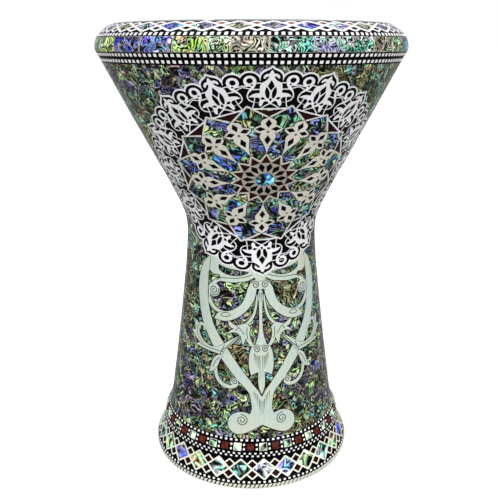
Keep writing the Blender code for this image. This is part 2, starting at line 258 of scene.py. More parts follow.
def abalone(name, chip_mm, palette, lines, hue_mm, gain, bright, dark, spread=0.42, blend=0.75, dim=0.25,
            tint=(0.80, 1.0, 0.86), seam=(0.004, 0.004, 0.005), joint=0.85):
    """Abalone shell: irregular chips, each with its own streaky growth lines in shifting colours.

    lines is how close the dark lines lie, hue_mm how far the colours drift, gain scales them and
    bright is how much painted highlight (pale glints in place of the shell's flashes of reflected
    light) is laid on. dark is the dark lines' share, spread how far the colour differs from chip to
    chip, blend how far it runs within a chip, dim how dark the darkest chips are, tint the painted
    highlights' colour, and seam and joint the colour and the strength of the joints of chips."""
    look = Look(name, 0.2, Coat_Weight=0.02, Coat_Roughness=0.08, Specular_IOR_Level=0.06)
    palette = palette + palette[:1]
    fine = 1 / (chip_mm * MM)
    warp = look.warped(look.warped(look.position, 0.9 * fine, 0.7 / fine), 0.3 * fine, 1.1 / fine)
    chips = look.cells(warp, fine)
    chip = look.node("ShaderNodeSeparateColor", {0: chips.outputs["Color"]})
    edge = look.cells(warp, fine, "DISTANCE_TO_EDGE").outputs["Distance"]
    axis = look.vectors("SUBTRACT", chips.outputs["Color"], (0.5, 0.5, 0.5))
    angle = look.maths("MULTIPLY", chip.outputs[2], TURN)
    turned = look.node("ShaderNodeVectorRotate", {"Vector": warp, "Axis": axis, "Angle": angle},
                       rotation_type="AXIS_ANGLE").outputs[0]
    drawn_out = look.vectors("MULTIPLY", turned, (1.0, 0.42, 1.0))
    own = look.vectors("ADD", drawn_out, chips.outputs["Color"])
    field = look.noise(own, 0.5 * fine, detail=2.5, roughness=0.5, distortion=0.9)
    drift = look.noise(look.position, 1 / (hue_mm * MM), detail=1.5)
    pick = look.maths("MULTIPLY", chip.outputs[0], spread)
    pick = look.maths("ADD", pick, look.maths("MULTIPLY", drift, 2.4))
    pick = look.maths("FRACT", look.maths("ADD", pick, look.maths("MULTIPLY", field, blend)))
    base = look.ramp(pick, [(i / (len(palette) - 1), colour) for i, colour in enumerate(palette)])
    wave = look.maths("SINE", look.maths("MULTIPLY", field, lines * TURN * 2.2))
    wave = look.maths("ADD", look.maths("MULTIPLY", wave, 0.5), 0.5)
    light = look.ramp(wave, [(0.0, 0.005 * gain), (dark, 0.05 * gain), (dark + 0.24, 0.55 * gain),
                             (0.85, 1.6 * gain), (1.0, 3.0 * gain)])
    colour = look.mix(1.0, base, light, "MULTIPLY")
    # Painted highlight: pale glints laid into the colour where the shell would flash with reflected light
    painted_glint = look.ramp(look.noise(own, 1.3 * fine, detail=2.0, distortion=1.0), [(0.58, 0.0), (0.66, 1.0)])
    glint_colour = look.mix(0.6, base, tint)
    colour = look.mix(look.maths("MULTIPLY", painted_glint, bright), colour, glint_colour)
    shade = look.ramp(chip.outputs[1], [(0.0, dim), (0.35, max(dim, 0.7)), (0.75, 1.1), (1.0, 1.5)])
    colour = look.mix(1.0, colour, shade, "MULTIPLY")
    crack = look.ramp(edge, [(0.0, 1.0), (0.07, 0.0)])
    colour = look.mix(look.maths("MULTIPLY", crack, joint), colour, seam)
    look.to("Base Color", colour)
    look.bump(look.maths("SUBTRACT", look.maths("MULTIPLY", wave, 0.3), crack), 0.05, 0.5)
    return look.material


def pearl(name, warm, cool, shade):
    """White mother of pearl: cloudy, faintly layered, two tints."""
    look = Look(name, 0.3, Coat_Weight=0.03, Coat_Roughness=0.1, Specular_IOR_Level=0.12)
    soft = look.warped(look.position, 60.0, 0.012)
    cloud = look.noise(soft, 45.0, detail=3.0)
    colour = look.mix(look.ramp(cloud, [(0.38, 0.0), (0.62, 1.0)]), warm, cool)
    layers = look.node("ShaderNodeTexWave", {
        "Vector": soft, "Scale": 55.0, "Distortion": 6.0, "Detail": 3.0, "Detail Scale": 1.5,
    })
    colour = look.mix(look.maths("MULTIPLY", layers.outputs["Fac"], 0.22), colour, shade)
    specks = look.ramp(look.noise(look.position, 900.0, detail=2.0), [(0.35, 1.0), (0.45, 0.0)])
    colour = look.mix(look.maths("MULTIPLY", specks, 0.25), colour, shade)
    look.to("Base Color", colour)
    look.bump(look.noise(soft, 500.0, detail=2.0), 0.02, 0.4)
    return look.material


def resin(name, colour, lighter, gloss=0.25):
    """Filled resin between the inlay, a stained piece, or a painted shadow: near one colour, fine mottling.
    """
    look = Look(name, gloss, Coat_Weight=0.01, Coat_Roughness=0.1, Specular_IOR_Level=0.04)
    mottle = look.ramp(look.noise(look.position, 350.0, detail=4.0), [(0.4, 0.0), (0.75, 1.0)])
    look.to("Base Color", look.mix(mottle, colour, lighter))
    look.bump(look.noise(look.position, 900.0, detail=2.0), 0.02, 0.4)
    return look.material


def cast_metal(name, colour, roughness, grain_mm, turned=False):
    """Aluminium or steel: cast skin, or turned with fine rings round the axis."""
    look = Look(name, roughness, Metallic=1.0)
    if turned:
        level = look.vectors("MULTIPLY", look.position, (1.0, 1.0, 0.0))
        radius = look.node("ShaderNodeVectorMath", {0: level}, operation="LENGTH")
        height = look.node("ShaderNodeSeparateXYZ", {0: look.position}).outputs[2]
        along = look.maths("ADD", radius.outputs["Value"], height)
        grain = look.node("ShaderNodeTexNoise", {"W": along, "Scale": 1 / (grain_mm * MM)},
                          noise_dimensions="1D").outputs["Fac"]
    else:
        grain = look.noise(look.position, 1 / (grain_mm * MM), detail=4.0, roughness=0.6)
    stain = look.noise(look.position, 25.0, detail=4.0)
    darker = tuple(0.62 * c for c in colour)
    look.to("Base Color", look.mix(look.ramp(stain, [(0.3, 0.0), (0.7, 1.0)]), colour, darker))
    rough = look.ramp(grain, [(0.3, roughness * 0.75), (0.7, min(1.0, roughness * 1.35))])
    look.to("Roughness", rough)
    look.bump(grain, 0.04 if turned else 0.25, 0.5)
    return look.material


BODY_PALETTE = [
    (0.17, 0.17, 0.06), (0.08, 0.25, 0.11), (0.23, 0.14, 0.10), (0.05, 0.07, 0.26), (0.21, 0.17, 0.12),
    (0.20, 0.34, 0.13), (0.13, 0.09, 0.15), (0.06, 0.24, 0.20), (0.22, 0.24, 0.10), (0.16, 0.10, 0.07),
]
PANEL_PALETTE = [
    (0.03, 0.05, 0.36), (0.06, 0.26, 0.30), (0.24, 0.33, 0.10), (0.20, 0.14, 0.13), (0.10, 0.36, 0.20),
    (0.14, 0.10, 0.22), (0.05, 0.10, 0.36), (0.17, 0.20, 0.09), (0.09, 0.32, 0.24), (0.12, 0.09, 0.10),
]
CENTRE_PALETTE = [
    (0.02, 0.03, 0.36), (0.04, 0.30, 0.40), (0.03, 0.04, 0.30), (0.12, 0.46, 0.40),
]
DIAMOND_PALETTE = [
    (0.05, 0.42, 0.20), (0.20, 0.52, 0.38), (0.05, 0.10, 0.40), (0.26, 0.38, 0.08), (0.06, 0.44, 0.26),
    (0.40, 0.36, 0.42), (0.06, 0.36, 0.36), (0.20, 0.19, 0.12),
]
# The colours of the ring's plates and the diamonds
HUES = {
    "blue": [(0.01, 0.02, 0.36), (0.05, 0.08, 0.50), (0.18, 0.15, 0.15), (0.09, 0.12, 0.46)],
    "violet": [(0.04, 0.03, 0.42), (0.38, 0.32, 0.58), (0.06, 0.28, 0.36), (0.14, 0.10, 0.44)],
    "lime": [(0.22, 0.42, 0.06), (0.46, 0.52, 0.16), (0.10, 0.34, 0.20), (0.40, 0.26, 0.16)],
    "mint": [(0.20, 0.42, 0.22), (0.42, 0.54, 0.40), (0.24, 0.30, 0.12), (0.30, 0.44, 0.30)],
    "stone": [(0.24, 0.23, 0.17), (0.29, 0.22, 0.20), (0.19, 0.24, 0.13), (0.26, 0.24, 0.21)],
    "teal": [(0.04, 0.26, 0.28), (0.16, 0.50, 0.38), (0.42, 0.36, 0.44), (0.12, 0.36, 0.22)],
    "heather": [(0.34, 0.27, 0.46), (0.20, 0.20, 0.44), (0.27, 0.25, 0.25), (0.16, 0.32, 0.26)],
}
# The order in which they follow each other round the drum
PLATE_ORDER = ["blue", "violet", "lime", "mint", "stone", "teal", "heather", "teal",
               "stone", "mint", "violet", "blue", "heather", "lime", "mint", "lime"]
FOOT_DIAMONDS = ["heather_diamond", "violet_diamond", "mint_diamond", "teal_diamond", "lime_diamond",
                 "blue_diamond", "lime_diamond", "teal_diamond", "diamond"]
RING_DIAMONDS = ["heather", "violet", "heather", "stone"]
# Warm tint, cool tint and shade
PEARLS = {
    "white": ((0.88, 0.86, 0.90), (0.79, 0.82, 0.81), (0.62, 0.63, 0.66)),
    "check": ((0.98, 0.98, 0.95), (0.94, 0.95, 0.94), (0.84, 0.85, 0.85)),
    "ivory": ((0.90, 0.90, 0.74), (0.84, 0.88, 0.78), (0.66, 0.68, 0.58)),
    "cream": ((0.60, 0.65, 0.53), (0.53, 0.64, 0.59), (0.43, 0.51, 0.47)),
    "flower": ((0.76, 0.71, 0.63), (0.63, 0.63, 0.55), (0.46, 0.46, 0.41)),
    "beige": ((0.44, 0.39, 0.32), (0.36, 0.33, 0.29), (0.24, 0.21, 0.18)),
    "joint": ((0.50, 0.42, 0.34), (0.56, 0.52, 0.44), (0.32, 0.26, 0.21)),
}
LOOKS = {
    "body": abalone(
        "body_abalone", 7.5, BODY_PALETTE, lines=5.4, hue_mm=60.0, bright=0.55, spread=0.34, blend=0.3,
        gain=1.1, dark=0.38, dim=0.12, tint=(0.80, 0.96, 0.66), seam=(0.022, 0.02, 0.016)),
    "petal": abalone(
        "petal_abalone", 12.0, PANEL_PALETTE, lines=6.0, hue_mm=40.0, bright=0.35, spread=0.22, blend=0.25,
        gain=1.1, dark=0.30),
    "centre": abalone(
        "centre_abalone", 13.0, CENTRE_PALETTE, lines=1.8, hue_mm=12.0, bright=0.5, gain=1.6, dark=0.15,
        dim=0.6),
    "diamond": abalone(
        "diamond_abalone", 13.0, DIAMOND_PALETTE, lines=2.4, hue_mm=14.0, bright=0.4, gain=1.1, blend=0.35,
        dark=0.12, dim=0.8),
    "black": resin("black_resin", (0.0006, 0.0006, 0.0009), (0.0025, 0.0025, 0.004)),
    "red": resin("dark_red_shell", (0.012, 0.002, 0.002), (0.035, 0.007, 0.006)),
    "brown": resin("red_brown_shell", (0.07, 0.012, 0.009), (0.22, 0.045, 0.025)),
    "rust": resin("rust_shell", (0.12, 0.03, 0.02), (0.42, 0.15, 0.08)),
    "engraving": resin("engraving_fill", (0.008, 0.009, 0.009), (0.03, 0.034, 0.032), 0.5),
    # The grey look is a painted shadow, used for the dot at the flower's heart
    "shadow": resin("painted_shadow_grey", (0.12, 0.13, 0.10), (0.22, 0.23, 0.18)),
    "cast": cast_metal("cast_aluminium_skin", (0.55, 0.56, 0.57), 0.45, 1.2),
    "turned": cast_metal("turned_aluminium", (0.70, 0.71, 0.72), 0.24, 0.35, turned=True),
    "steel": cast_metal("bolt_steel_skin", (0.42, 0.42, 0.43), 0.28, 0.5),
}
for pearl_name, colours in PEARLS.items():
    LOOKS[pearl_name] = pearl(pearl_name + "_pearl", *colours)
for hue, hue_palette in HUES.items():
    LOOKS[hue] = abalone(f"{hue}_plate_abalone", 8.0, hue_palette, lines=6.0, hue_mm=18.0, bright=0.35,
                         gain=1.05, spread=0.45, blend=0.3, dark=0.22, dim=0.5, joint=0.3)
    LOOKS[hue + "_diamond"] = abalone(f"{hue}_diamond_abalone", 13.0, hue_palette, lines=2.8, hue_mm=14.0,
                                      bright=0.4, gain=1.3, blend=0.35, dark=0.08, dim=0.85, joint=0.3)


# ---- Meshes ----


def add_piece(name, mesh, looks, body, slot, *replaced):
    piece = bpy.data.objects.new(name, mesh)
    bpy.context.scene.collection.objects.link(piece)
    for look in looks:
        mesh.materials.append(LOOKS[look])
    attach(piece, body)
    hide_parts(*replaced)


class Build:
    """Collects points, faces, materials and directions, and makes one mesh of them."""

    def __init__(self):
        self.points, self.faces, self.slots, self.directions = [], [], [], []
        self.count = 0

    def add(self, points, faces, slot, directions=None):
        """Faces index into points. directions holds one per corner of each face, or is None."""
        points = np.asarray(points, dtype=float)
        self.points.append(points)
        for i, face in enumerate(faces):
            self.faces.append(tuple(int(v) + self.count for v in face))
            self.slots.append(slot)
            if directions is not None:
                self.directions.extend(directions[i])
            else:
                a, b, c = (points[face[j]] for j in (0, 1, 2))
                n = np.cross(b - a, c - a)
                size = np.linalg.norm(n)
                n = n / size if size > 0 else np.array([0.0, 0.0, 1.0])
                self.directions.extend([n] * len(face))
        self.count += len(points)

    def mesh(self, name):
        mesh = bpy.data.meshes.new(name)
        mesh.from_pydata(np.concatenate(self.points).tolist(), [], self.faces)
        mesh.polygons.foreach_set("material_index", self.slots)
        mesh.polygons.foreach_set("use_smooth", [True] * len(self.faces))
        mesh.normals_split_custom_set([tuple(d) for d in self.directions])
        return mesh


def slab(build, faces, top, normals, bottom, slot):
    """Adds a closed plate: faces on the top points, the same below, and walls at the open edges."""
    count = len(top)
    points = np.concatenate([top, bottom])
    made, directions, edges = [], [], {}
    for face in faces:
        under = face[::-1]
        made += [face, tuple(v + count for v in under)]
        directions += [[normals[v] for v in face], [-normals[v] for v in under]]
        edges.update(dict.fromkeys(zip(face, face[1:] + face[:1])))
    for a, b in edges:
        if (b, a) not in edges:
            outward = np.cross(points[b] - points[a], normals[a])
            made.append((a, a + count, b + count, b))
            directions.append([outward / max(np.linalg.norm(outward), 1e-12)] * 4)
    build.add(points, made, slot, directions)


def grid(rows, columns, wrapped=False):
    """Four-sided faces between points numbered row by row."""
    faces = []
    for first in range(0, (rows - 1) * columns, columns):
        for j in range(columns if wrapped else columns - 1):
            a, b = first + j, first + (j + 1) % columns
            faces.append((a, b, b + columns, a + columns))
    return faces


def skin(build, profile, start, end, lift=0.0, sides=288, slot=0):
    """A closed turned band on a profile, from one length along it to another."""
    rows = max(2, math.ceil((end - start) / BAND_STEP) + 1)
    round_it = np.arange(sides) * TURN / sides
    s, theta = np.meshgrid(np.linspace(start, end, rows), round_it, indexing="ij")
    top, normals = profile.place(theta.ravel(), s.ravel(), lift)
    bottom, _ = profile.place(theta.ravel(), s.ravel(), -INLAY)
    slab(build, grid(rows, sides, wrapped=True), top, normals, bottom, slot)


def plate(build, profile, sides, low, high, lift, slot, columns=6, rows=5):
    """A closed plate that follows a profile. sides gives its left and right angle at 0 to 1 up."""
    theta = np.concatenate([np.linspace(*sides(up), columns) for up in np.linspace(0, 1, rows)])
    s = np.repeat(np.linspace(low, high, rows), columns)
    top, normals = profile.place(theta, s, lift)
    bottom, _ = profile.place(theta, s, ROOT)
    slab(build, grid(rows, columns), top, normals, bottom, slot)


def tile(build, profile, outline, low, high, bevel=0.15, slot=0):
    """A little raised plate on a profile. Its outline is (angle, length along), anticlockwise."""
    theta = np.array([p[0] for p in outline])
    s = np.array([p[1] for p in outline])
    r = profile.at(s.mean())[0]
    size = np.hypot((theta - theta.mean()) * r, s - s.mean()).max()
    keep = max(0.3, 1 - 1.4 * bevel / size)
    inner_t = theta.mean() + (theta - theta.mean()) * keep
    inner_s = s.mean() + (s - s.mean()) * keep
    bottom, _ = profile.place(theta, s, low)
    side, _ = profile.place(theta, s, high - bevel)
    top, _ = profile.place(inner_t, inner_s, high)
    n = len(outline)
    points = np.concatenate([bottom, side, top])
    faces = [tuple(range(n))[::-1], tuple(range(2 * n, 3 * n))]
    for ring in (0, n):
        for i in range(n):
            j = (i + 1) % n
            faces.append((ring + i, ring + j, ring + n + j, ring + n + i))
    build.add(points, faces, slot)


def box_outline(profile, theta, s, width, height, lean=0.0):
    """A rectangle round (theta, s), as a tile's outline; lean shifts its upper edge sideways."""
    r = float(profile.at(s)[0])
    half = width / 2 / r
    return [(theta - half, s - height / 2), (theta + half, s - height / 2),
            (theta + half + lean / r, s + height / 2), (theta - half + lean / r, s + height / 2)]


def checker_strip(name, profile, low, high, body, node, count, width, height, rng,
                  rows=((0.5, 0.0),), ends=(0.15, 0.15), look="check", lean=0.0):
    """A black band with rows of squares, each a little out of true.

    rows gives how far up the band each row lies, and its shift round the drum in squares. ends is
    how far the band reaches past low and high."""
    build = Build()
    skin(build, profile, low - ends[0], high + ends[1])
    for up, phase in rows:
        for k in range(count):
            theta = (k + phase) * TURN / count
            square = box_outline(profile, theta, low + up * (high - low), width, height, lean)
            square = [(t + rng.normal(0, 0.06) / 100, s + rng.normal(0, 0.05)) for t, s in square]
            tile(build, profile, square, ROOT, 0.25, slot=1)
    add_piece(name, build.mesh(name), ["black", look], body, "checker_inlay", node)


# ---- Flat patterns, painted shape over shape and wrapped onto the drum ----


def paint(shapes, spacing):
    """Cuts overlapping (outline, colour) shapes into triangles, each with the colour on top.

    Only what lies inside the first shape is kept. Returns the points and {colour: triangles}."""
    points, index, faces, colours = [], {}, [], []

    def point(p):
        key = (round(p[0], 3), round(p[1], 3))
        if key not in index:
            index[key] = len(points)
            points.append(Vector(key))
        return index[key]

    for outline, colour in shapes:
        area = sum(outline[i - 1][0] * outline[i][1] - outline[i][0] * outline[i - 1][1]
                   for i in range(len(outline)))
        ids = [point(p) for p in (outline if area > 0 else outline[::-1])]
        ids = [v for i, v in enumerate(ids) if v != ids[i - 1]]
        if len(ids) < 3 or abs(area) < 1e-3:
            ids = []
        faces.append(ids)
        colours.append(colour)
    kept = [i for i, ids in enumerate(faces) if ids]
    xs = [p[0] for p in shapes[0][0]]
    ys = [p[1] for p in shapes[0][0]]
    for x in np.arange(min(xs) + spacing / 2, max(xs), spacing):
        for y in np.arange(min(ys) + spacing / 2, max(ys), spacing):
            point((x, y))
    made = delaunay_2d_cdt(points, [], [faces[i] for i in kept], 1, 1e-4, True)
    flat = np.array([(v.x, v.y) for v in made[0]])
    groups = {}
    for triangle, owners in zip(made[2], made[5]):
        if 0 in owners:
            groups.setdefault(colours[kept[max(owners)]], []).append(tuple(triangle))
    return flat, groups


def inlay(name, shapes, spacing, place, levels, body, slot, node, low=ROOT):
    """A piece cut from a painted pattern: each look is one closed plate, its top at its level."""
    flat, groups = paint(shapes, spacing)
    groups.pop("none", None)
    looks = list(levels)
    build = Build()
    for look, triangles in groups.items():
        used = sorted({v for t in triangles for v in t})
        renumber = {v: i for i, v in enumerate(used)}
        x, y = flat[used].T
        top, normals = place(x, y, levels[look])
        bottom, _ = place(x, y, low)
        faces = [tuple(renumber[v] for v in t) for t in triangles]
        slab(build, faces, top, normals, bottom, looks.index(look))
    add_piece(name, build.mesh(name), looks, body, slot, node)


def disc(x, y, radius, sides=24):
    return [(x + radius * math.cos(TURN * i / sides), y + radius * math.sin(TURN * i / sides))
            for i in range(sides)]


def ribbon(points, widths, smooth=True):
    """Four-sided pieces that make a line of changing width through points."""
    if isinstance(widths, (int, float)):
        widths = [widths] * len(points)
    line = points
    if smooth:
        line = curve(points, 5)
        widths = [w for _, w in curve(list(enumerate(widths)), 5)]
    left, right = [], []
    for i, (x, y) in enumerate(line):
        x0, y0 = line[max(i - 1, 0)]
        x1, y1 = line[min(i + 1, len(line) - 1)]
        length = math.hypot(x1 - x0, y1 - y0) or 1.0
        nx, ny = -(y1 - y0) / length, (x1 - x0) / length
        half = widths[min(i, len(widths) - 1)] / 2
        left.append((x + nx * half, y + ny * half))
        right.append((x - nx * half, y - ny * half))
    return [[right[i], right[i + 1], left[i + 1], left[i]] for i in range(len(line) - 1)]


def rim(outline, width, shortest=0.2, axis=-math.inf):
    """A straight piece along each side of an outline that is long enough and reaches past the axis."""
    return [ribbon([a, b], width, smooth=False)[0] for a, b in zip(outline, outline[1:] + outline[:1])
            if math.dist(a, b) > shortest and max(a[0], b[0]) > axis]


def tinted(pieces, colour):
    return [(piece, colour) for piece in pieces]


def moved(outline, distance):
    """A clockwise outline moved outward by a distance."""
    out = []
    for i, (x, y) in enumerate(outline):
        x0, y0 = outline[i - 1]
        x1, y1 = outline[(i + 1) % len(outline)]
        length = math.hypot(x1 - x0, y1 - y0)
        out.append((x - distance * (y1 - y0) / length, y + distance * (x1 - x0) / length))
    return out


def mirrored(outline):
    return [(-x, y) for x, y in outline]


def both(half):
    """A full outline from its right half, which runs along from one point on the axis to another."""
    return list(half) + [(-x, y) for x, y in half[::-1] if abs(x) > 1e-6]


def diamond(x, y, half_width, half_height):
    return [(x, y - half_height), (x + half_width, y), (x, y + half_height), (x - half_width, y)]


# ---- The rosette: 14 wedges round a centre on the bowl ----

WEDGES = 14
ROSETTE_TURN = -0.9
WEDGE_FIT = 0.945
HALF = math.pi / WEDGES


def on_rosette(x, y, lift):
    """Wraps the rosette's plane on the bowl along straightest lines from its centre."""
    # The pattern is laid a little wider across than down
    across = 1.06 * x
    up = y * (0.945 + 0.025 * y / np.maximum(np.hypot(x, y), 1e-6))
    rho, heading = np.hypot(across, up), np.arctan2(across, up)
    steps = 60
    step = rho / steps
    z = np.full(rho.shape, ROSETTE_Z)
    theta = np.zeros(rho.shape)
    for _ in range(steps):
        r = body_radius(z)
        slope = body_radius(z + 0.5) - body_radius(z - 0.5)
        stretch = np.hypot(1, slope)
        middle = z + 0.5 * step * np.cos(heading) / stretch
        turned = heading - 0.5 * step * np.sin(heading) * slope / (stretch * r)
        r = body_radius(middle)
        slope = body_radius(middle + 0.5) - body_radius(middle - 0.5)
        stretch = np.hypot(1, slope)
        z = z + step * np.cos(turned) / stretch
        theta = theta + step * np.sin(turned) / r
        heading = heading - step * np.sin(turned) * slope / (stretch * r)
    return BODY.place(theta, BODY.at_height(z), lift)


def polar(rho, angle):
    return rho * math.sin(angle), rho * math.cos(angle)


FLOWER = curve([
    (0, 28.2), (0, 28.2), (0.5, 30.5), (1.7, 35), (3.9, 40), (6.1, 44), (6.5, 46.8), (5.3, 49.2),
    (5.3, 49.2), (8.2, 49.8), (10.4, 51), (12, 53.2), (12, 53.2), (9.8, 55.2), (7.4, 56.4), (5.9, 57.4),
    (5.9, 57.4), (6.3, 59.8), (5, 62), (2.6, 63.2), (2.6, 63.2), (0, 65.2), (0, 65.2),
], 3)
LOTUS = [
    (0, 76.9), (0.7, 78), (1.9, 79.4), (3.2, 80.1), (4.6, 79.9), (5.8, 78.6), (6.5, 76.2), (7.5, 74.9),
    (8.5, 76.4), (8.2, 79.2), (7.6, 81.4), (9.4, 83.2), (12.6, 83.3), (16.6, 83), (14, 85.1), (11.5, 86),
    (8.2, 86.5), (8.3, 90.2), (8.1, 93.6), (7.2, 95.4), (4.7, 96.8), (2.9, 98.4), (1.8, 100.2),
    (1.5, 101.4), (3.2, 101.6), (4.5, 100.9), (5.4, 99.6), (6.1, 99.9), (5.5, 101.8), (4, 103),
    (2.2, 103.1), (1.3, 103.5), (0.9, 105), (0, 106.3),
]
LOTUS_LENS = [(1.2, 82), (3, 82.6), (4.2, 86.2), (4.3, 89), (3.4, 92.2), (1.6, 89.6), (0.7, 86)]


def wedge_layers():
    """One wedge's shapes, axis up, as a list of layers, each a list of (outline, colour)."""
    eye = (15.6, 96.9)

    def sided(shapes):
        return shapes + [(mirrored(outline), colour) for outline, colour in shapes]

    def narrow(points):
        return [(x * WEDGE_FIT, y) for x, y in points]

    def lines(points, widths, colour, smooth=True):
        return tinted(ribbon(points, widths, smooth), colour)

    crown = both(narrow([(9.6, 95), (9.9, 100.4), (9.2, 103.6), (7, 106.2), (3.6, 107.8), (1.4, 109),
                         (0, 110.6)]))
    crown_dark = both(narrow([(8.3, 94.5), (8.5, 100.2), (7.8, 102.9), (5.9, 105), (3, 106.5), (0.9, 107.7),
                              (0, 109)]))
    border = sided([(disc(*eye, 8.5, 30), "white")]) + [(crown, "white")]
    border_dark = sided([(disc(*eye, 7.3, 26), "black")]) + [(crown_dark, "black")]
    kites = [([polar(76, -HALF), (0, 63.5), polar(76, HALF), (0, 0)], "petal")]
    rosette_red = [([(-8.8, 70.7), (0, 65.6), (8.8, 70.7)], "red")]
    v_lines = sided(lines([(0, 64.4), polar(76.3, HALF)], 1.5, "flower", smooth=False))
    band = lines([(-12.6, 72.3), (12.6, 72.3)], 1.3, "white", smooth=False)
    cross_lines = sided(lines([(0, 77.6), (3.4, 75.6), (6.9, 72.7)], 0.85, "white"))
    small_black = [([(-3.7, 73.2), (3.7, 73.2), (0, 76.1)], "black")]
    loops = sided(
        lines(narrow([(12.9, 95.4), (14, 92.2), (15.5, 89.6), (17.2, 87), (17.9, 84.2), (17.5, 81.8),
                      (15.9, 79.8), (12.5, 78.4)]), [2.7, 2.5, 1.9, 1.1, 0.9, 0.85, 0.85, 0.8], "white")
        + lines(narrow([(12.3, 83.3), (12.4, 78.6), (13.5, 73.2)]), [0.7, 0.7, 0.85], "white")
        + lines(narrow([(8.6, 78.2), (12.6, 78.2)]), 0.45, "beige", smooth=False)
        + lines(narrow([(8, 89.7), (10.5, 90), (14, 89.6)]), [0.8, 0.8, 1], "white")
        + lines(narrow([(7.6, 95.5), (12, 95.4)]), 0.8, "white", smooth=False)
        + lines([(15.2, 89.9), (17.8, 90.7), polar(93.4, HALF)], [0.75, 0.7, 0.7], "white")
        + lines([(15.6, 93.4), (18.2, 92.4), polar(94.8, HALF)], [1.3, 0.9, 0.7], "white")
        + [(disc(*eye, 4.7, 22), "white")]
    )
    eye_cuts = sided([(disc(15.8, 97.2, 2.4, 14), "black"), (disc(14, 93.7, 0.9, 8), "black")])
    lotus = [(moved(both(narrow(LOTUS)), -0.35), "white")]
    cuts = sided([(shape(LOTUS_LENS, 2), "black"),
                  ([(3.6, 81.2), (6.2, 80.6), (7.6, 82.6), (5.4, 83.4)], "black")])
    cuts += [([(0, 88.9), (2.6, 92.7), (1.6, 95.1), (0, 98.4), (-1.6, 95.1), (-2.6, 92.7)], "black"),
             (diamond(0, 80.9, 1.35, 1.7), "black")]
    petals = both(narrow(FLOWER))
    flower_edge = tinted(rim(petals, 1.3, 0.05), "black")
    flower = [(petals, "flower")]
    flower_cuts = sided([(diamond(6, 53.2, 4.2, 2.3), "black")])
    # The grey disc at the flower's heart is a painted shadow
    flower_cuts += [(diamond(0, 58.6, 2.6, 4.2), "black"), (diamond(0, 42.6, 2.6, 4.9), "black"),
                    (disc(0, 50.6, 1.25, 10), "shadow")]
    star = [([(0, 0), polar(21.2, -HALF), (0, 28.2), polar(21.2, HALF)], "beige")]
    star_edge = sided(lines([polar(21.9, HALF), (0, 29)], 1, "black", smooth=False))
    star_lines = sided(lines([polar(20.9, HALF), (0, 28)], 0.9, "flower", smooth=False))
    star_red = [([(-3.9, 18.4), (3.9, 18.4), (0, 26.2)], "red")]
    between = [(0, 8), (2.75, 14.2), (0, 18.3), (-2.75, 14.2)]
    centre = [([turned_point(x, y, HALF) for x, y in between], "black")]
    return [border, border_dark, kites, v_lines, rosette_red, small_black, band, cross_lines,
            loops, eye_cuts, lotus, cuts, star_edge, star, star_lines, star_red, centre,
            flower_edge, flower, flower_cuts]


def turned_point(x, y, angle):
    """Turns a point clockwise about the rosette's centre."""
    return (x * math.cos(angle) + y * math.sin(angle), -x * math.sin(angle) + y * math.cos(angle))


def rosette():
    layers = wedge_layers()
    start = math.radians(ROSETTE_TURN)

    def all_round(some_layers):
        return [([turned_point(x, y, start + k * TURN / WEDGES) for x, y in outline], colour)
                for layer in some_layers for k in range(WEDGES) for outline, colour in layer]

    shapes = [(disc(0, 0, 112, 60), "none")]
    shapes += all_round(layers[:2])
    shapes.append((disc(0, 0, 98, 84), "black"))
    shapes += all_round(layers[2:])
    shapes.append((disc(0, 0, 7.6, 28), "centre"))
    levels = {"white": 0.46, "black": 0.28, "petal": 0.34, "flower": 0.46, "beige": 0.42, "red": 0.34,
              "shadow": 0.36, "centre": 0.34}
    inlay("rosette_inlay", shapes, 3.2, on_rosette, levels, "shell", "rosette_pearl", "rosette_panel")


# ---- The scroll below it, drawn as (across, height) and mirrored ----

SIDE_BAND = shape([
    (40, 228), (40, 228), (53.5, 221), (61, 210), (65, 197.5), (65.5, 185), (63.5, 170), (59, 155),
    (52, 142.5), (45.5, 132.5), (35.5, 120), (24, 106), (18, 99.5), (12.5, 92.5), (10.5, 84), (10, 76),
    (12, 70.5), (12, 70.5), (15, 72), (21, 72.7), (27.5, 70.7), (32, 66.5), (34, 61), (33.3, 56),
    (30, 52.3), (24.5, 50.4), (17, 51.8), (9.5, 55), (3.5, 58), (0, 59.7), (0, 59.7), (0, 88.5),
    (0, 88.5), (3, 95), (10.5, 104), (19.5, 116), (28.5, 129), (35.5, 139), (42.5, 149), (48.5, 160),
    (52.5, 175), (53.5, 186), (53, 197.5), (52, 207.5), (49.5, 215), (49.5, 215), (34, 226), (34, 226),
])
TOP_PLATE = shape([
    (52, 210), (52, 210), (48, 208.2), (46, 206.6), (42, 207.2), (39.5, 206.6), (38.5, 204.3),
    (38.5, 204.3), (29, 204.9), (20.5, 205.6), (13, 207.3), (6, 209.8), (0, 211), (0, 211), (0, 226),
    (0, 226), (50, 226), (50, 226),
])
# The mosaic shows through this lens in the top plate
LENS = shape([
    (11, 211.2), (11, 211.2), (16, 212), (24, 213), (31, 213.8), (36, 215.2), (39.8, 216.6),
    (39.8, 216.6), (39.6, 212.4), (34.5, 209.2), (27.5, 207.8), (20.5, 208), (14.5, 209.5),
])
NECK = shape([
    (0, 200.5), (0, 200.5), (3.8, 203.5), (6, 207), (12, 210.5), (12, 210.5), (10, 216), (0, 216),
    (0, 216),
])
UPPER_ARM = shape([
    (5, 209.6), (5, 209.6), (8.5, 209), (13, 207.3), (20.5, 205.6), (29, 204.9), (37.5, 204.4),
    (43, 202.4), (47.5, 199.2), (50.5, 195), (50.5, 195), (46.5, 195.5), (43.5, 197.8), (40.5, 200.2),
    (37, 201), (28.5, 200.7), (20, 201.8), (12, 203.2), (6.5, 206), (4, 207.4), (4, 207.4),
])
VOLUTE_TAIL = shape([
    (52, 196), (52, 196), (51, 186), (48.5, 180), (45, 175.6), (39.5, 172.8), (30.5, 172), (30.5, 172),
    (36, 170.5), (43, 170.5), (48.5, 173.5), (52.8, 178.5), (52.8, 178.5),
])
